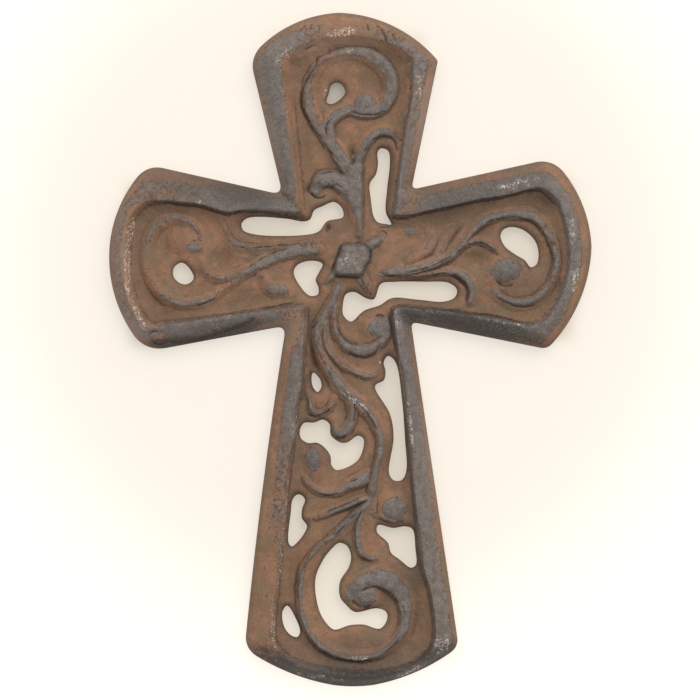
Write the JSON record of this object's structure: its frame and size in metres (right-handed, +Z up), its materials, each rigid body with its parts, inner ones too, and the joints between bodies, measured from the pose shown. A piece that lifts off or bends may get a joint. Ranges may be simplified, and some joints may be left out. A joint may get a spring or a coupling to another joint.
{
  "type": "wall cross",
  "caption": "Flared cross for a wall, one thin cast iron piece with a raised rim, pierced scrollwork, a boss at the crossing and a flat back.",
  "frame": {"origin": "on the flat back, behind the boss at the crossing of the arms, where the cross meets the wall", "axes": "+Z up along the long leg towards the top arm, +Y out of the flat back into the wall, -Y out of the carved front, +X to the viewer's right"},
  "size_m": [0.1727, 0.0094, 0.2415],
  "materials": {
    "rusted_iron": "rust brown in the hollows, worn grey and dark along the rim and the scrolls, with small pale chips"
  },
  "bodies": {
    "root": {"cross_casting": "rusted_iron"}
  },
  "joints": []
}
